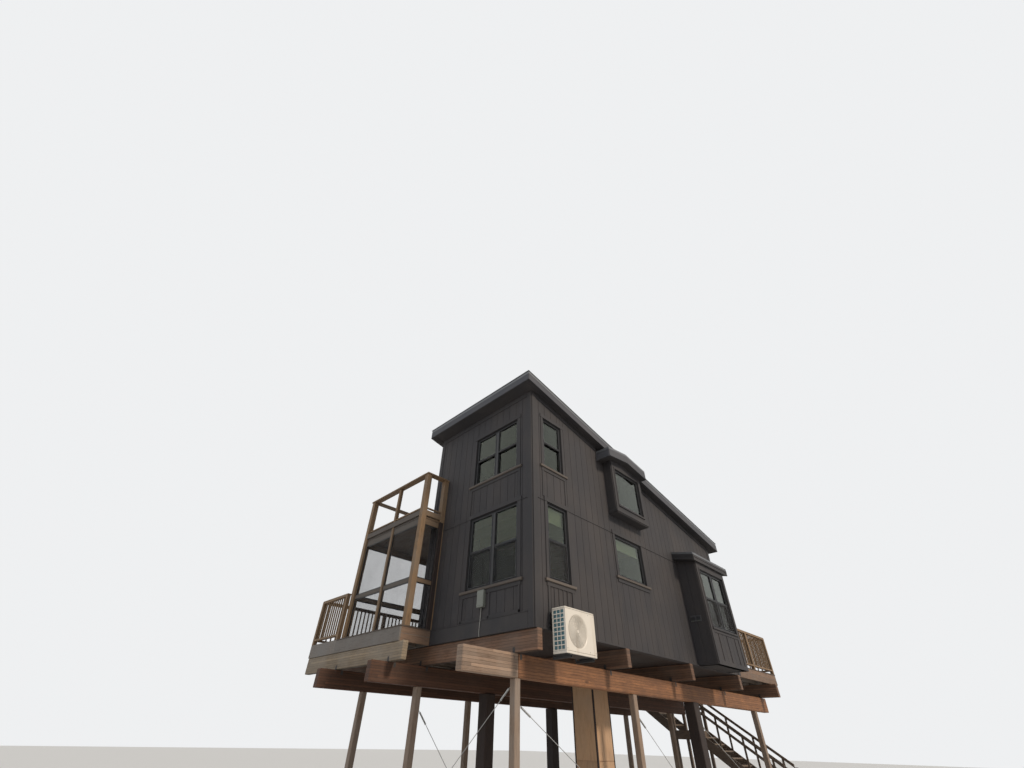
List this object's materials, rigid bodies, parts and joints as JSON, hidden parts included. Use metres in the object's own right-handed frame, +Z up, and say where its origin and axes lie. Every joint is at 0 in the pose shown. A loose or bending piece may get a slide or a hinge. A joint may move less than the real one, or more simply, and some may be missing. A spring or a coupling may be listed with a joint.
{
  "type": "tree house",
  "caption": "Dark timber tree house on posts, with a mono-pitch roof, bays, a screened porch with a deck over it, decks, a walkway and a stair",
  "frame": {"origin": "on the ground at the middle of the plan's bounding box", "axes": "+X along the house's long side, away from the tall front wall; +Y across the house from the side with the bays to the porch side; +Z up"},
  "size_m": [14.14, 8, 8.9289],
  "materials": {
    "dark_siding": "charcoal stain on rough boards",
    "dark_trim": "charcoal stain",
    "roofing": "dark sheet roofing",
    "window_frame": "black, matt",
    "window_glass": "clear glass",
    "glued_beam": "oiled glued beam",
    "brown_post": "weathered brown post",
    "tan_timber": "tan treated timber",
    "grey_timber": "weathered grey-brown timber",
    "plywood": "bare plywood",
    "insect_screen": "dark woven screen",
    "galvanised": "galvanised steel",
    "unit_white": "off-white enamel",
    "floor_board": "interior boards"
  },
  "bodies": {
    "root": {"front_wall": "dark_siding", "right_wall": "dark_siding", "left_wall": "dark_siding", "rear_wall": "dark_siding", "house_floor": "floor_board", "loft_floor": "floor_board", "roof_panel": "dark_trim", "roof_fascia": "dark_trim", "roof_sheet": "roofing", "box_bay": "dark_siding", "box_bay_roof": "dark_trim", "tall_bay": "dark_siding", "tall_bay_roof": "dark_trim", "front_windows": "window_frame", "right_windows": "window_frame", "left_windows": "window_frame", "front_glass": "window_glass", "right_glass": "window_glass", "left_glass": "window_glass", "doors": "dark_trim", "near_beam": "glued_beam", "middle_beam": "glued_beam", "far_beam": "glued_beam", "cross_beams": "glued_beam", "near_posts": "brown_post", "middle_posts": "brown_post", "far_posts": "brown_post", "service_chase": "plywood", "bracing_cables": "galvanised", "porch_deck": "grey_timber", "back_deck": "grey_timber", "end_deck": "grey_timber", "walkway": "grey_timber", "porch_posts": "tan_timber", "upper_deck": "grey_timber", "porch_header": "grey_timber", "porch_rails": "grey_timber", "porch_screens": "insect_screen", "upper_deck_rails": "tan_timber", "deck_railing": "tan_timber", "stair_treads": "brown_post", "stair_stringers": "brown_post", "stair_landing": "brown_post", "stair_rails": "brown_post", "outdoor_unit": "unit_white", "unit_bracket": "galvanised", "wall_boxes": "dark_trim"}
  },
  "joints": []
}
